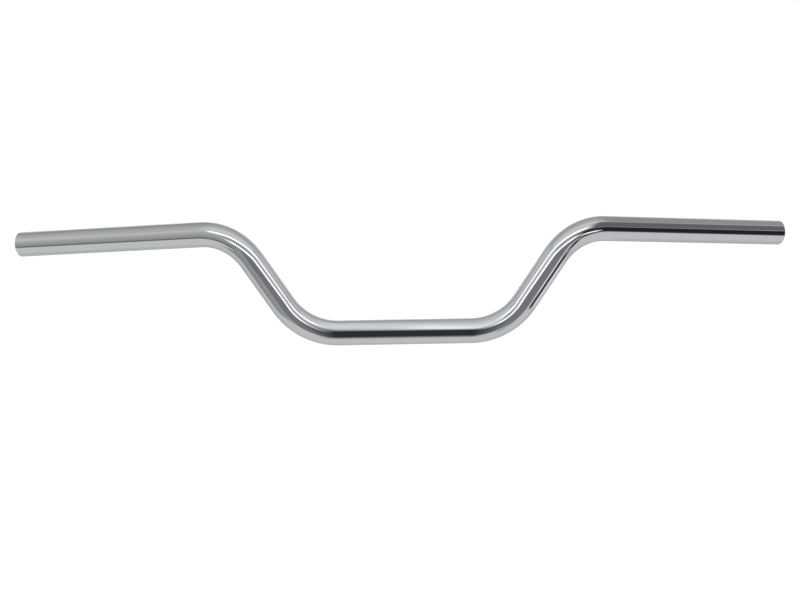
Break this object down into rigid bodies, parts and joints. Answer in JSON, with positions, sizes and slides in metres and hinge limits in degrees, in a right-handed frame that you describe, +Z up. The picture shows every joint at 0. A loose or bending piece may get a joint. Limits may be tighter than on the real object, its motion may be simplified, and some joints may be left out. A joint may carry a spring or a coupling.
{
  "type": "bicycle handlebar",
  "caption": "Chrome-plated steel tube handlebar for a bicycle: a straight clamp run, legs that rise on either side, and open-ended grip runs that sweep back and slope slightly down.",
  "frame": {"origin": "middle of the clamp run, on the tube's axis", "axes": "+X along the clamp run, +Y back towards the rider, +Z up along the rise of the legs"},
  "size_m": [0.7048, 0.0733, 0.1114],
  "materials": {
    "chrome_plate": "bright decorative chromium over polished nickel on a mild steel tube"
  },
  "bodies": {
    "root": {"handlebar_tube": "chrome_plate"}
  },
  "joints": []
}
